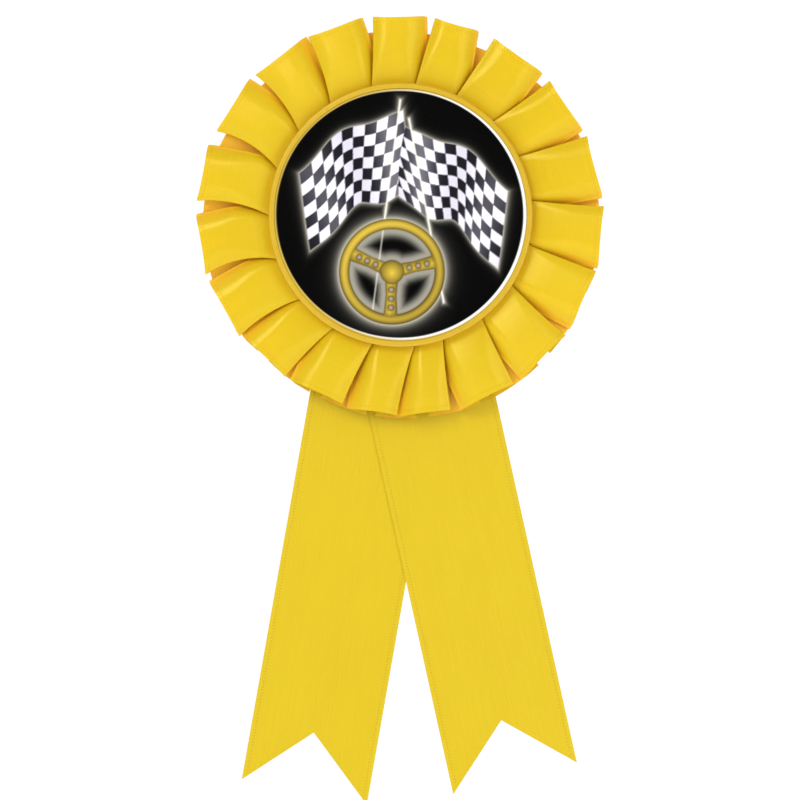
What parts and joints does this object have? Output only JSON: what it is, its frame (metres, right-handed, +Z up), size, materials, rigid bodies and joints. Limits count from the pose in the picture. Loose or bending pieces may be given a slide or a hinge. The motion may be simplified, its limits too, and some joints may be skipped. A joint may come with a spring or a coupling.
{
  "type": "award ribbon",
  "caption": "Pleated yellow satin rosette with a round printed centre button, swallow-tail streamers and a locking bar pin on the back.",
  "frame": {"origin": "the rosette's centre on the garment side of the rear card", "axes": "+Z up as the ribbon hangs, +X to the viewer's right, the rosette faces -Y and the garment side +Y"},
  "size_m": [0.0814, 0.012, 0.1573],
  "materials": {
    "printed_card": "printed card, glossy ink, white border",
    "button_plastic": "moulded, satin sheen",
    "satin_pleats": "single-face satin ribbon, warp along the length",
    "satin_tails": "single-face satin ribbon, warp along the length",
    "white_card": "uncoated greyboard, white lined",
    "grey_card": "uncoated greyboard",
    "hot_glue": "translucent hot-melt glue",
    "foam_tape": "closed-cell foam tape",
    "thread": "spun polyester thread",
    "nickel_steel": "nickel-plated stamped steel",
    "staple_wire": "galvanised flat wire"
  },
  "bodies": {
    "rosette": {"printed_insert": "printed_card", "insert_adhesive": "foam_tape", "button_shell": "button_plastic", "button_glue": "hot_glue", "front_card": "grey_card", "front_glue": "hot_glue", "gather_thread": "thread", "pleated_ribbon": "satin_pleats", "core_card": "grey_card", "rear_glue": "hot_glue", "rear_card": "white_card", "tail_staples": "staple_wire", "left_tail_anchor": "satin_tails", "right_tail_anchor": "satin_tails", "pin_pad": "foam_tape", "pin_base": "nickel_steel", "pin_rivet": "nickel_steel"},
    "tails": {"left_tail_upper": "satin_tails", "right_tail_upper": "satin_tails"},
    "left_tail_end": {"left_tail_lower": "satin_tails"},
    "right_tail_end": {"right_tail_lower": "satin_tails"},
    "needle": {"pin_needle": "nickel_steel"},
    "catch": {"catch_sleeve": "nickel_steel"}
  },
  "joints": [
    {"name": "tails_sway", "type": "hinge", "parent": "rosette", "child": "tails", "pos_m": [0, -0.0016, -0.0285], "axis": [1, 0, 0], "range_deg": [0, 90]},
    {"name": "left_tail_flex", "type": "hinge", "parent": "tails", "child": "left_tail_end", "pos_m": [-0.01168, -0.00145, -0.07372], "axis": [0.9839, 0, -0.1788], "range_deg": [-90, 90]},
    {"name": "right_tail_flex", "type": "hinge", "parent": "tails", "child": "right_tail_end", "pos_m": [0.01423, -0.00175, -0.07334], "axis": [0.9781, 0, 0.2079], "range_deg": [-90, 90]},
    {"name": "needle_open", "type": "hinge", "parent": "rosette", "child": "needle", "pos_m": [-0.014, 0.002, 0.012], "axis": [0, 0, 1], "range_deg": [0, 75]},
    {"name": "catch_turn", "type": "hinge", "parent": "rosette", "child": "catch", "pos_m": [0.012, 0.002, 0.012], "axis": [1, 0, 0], "range_deg": [0, 110]}
  ]
}
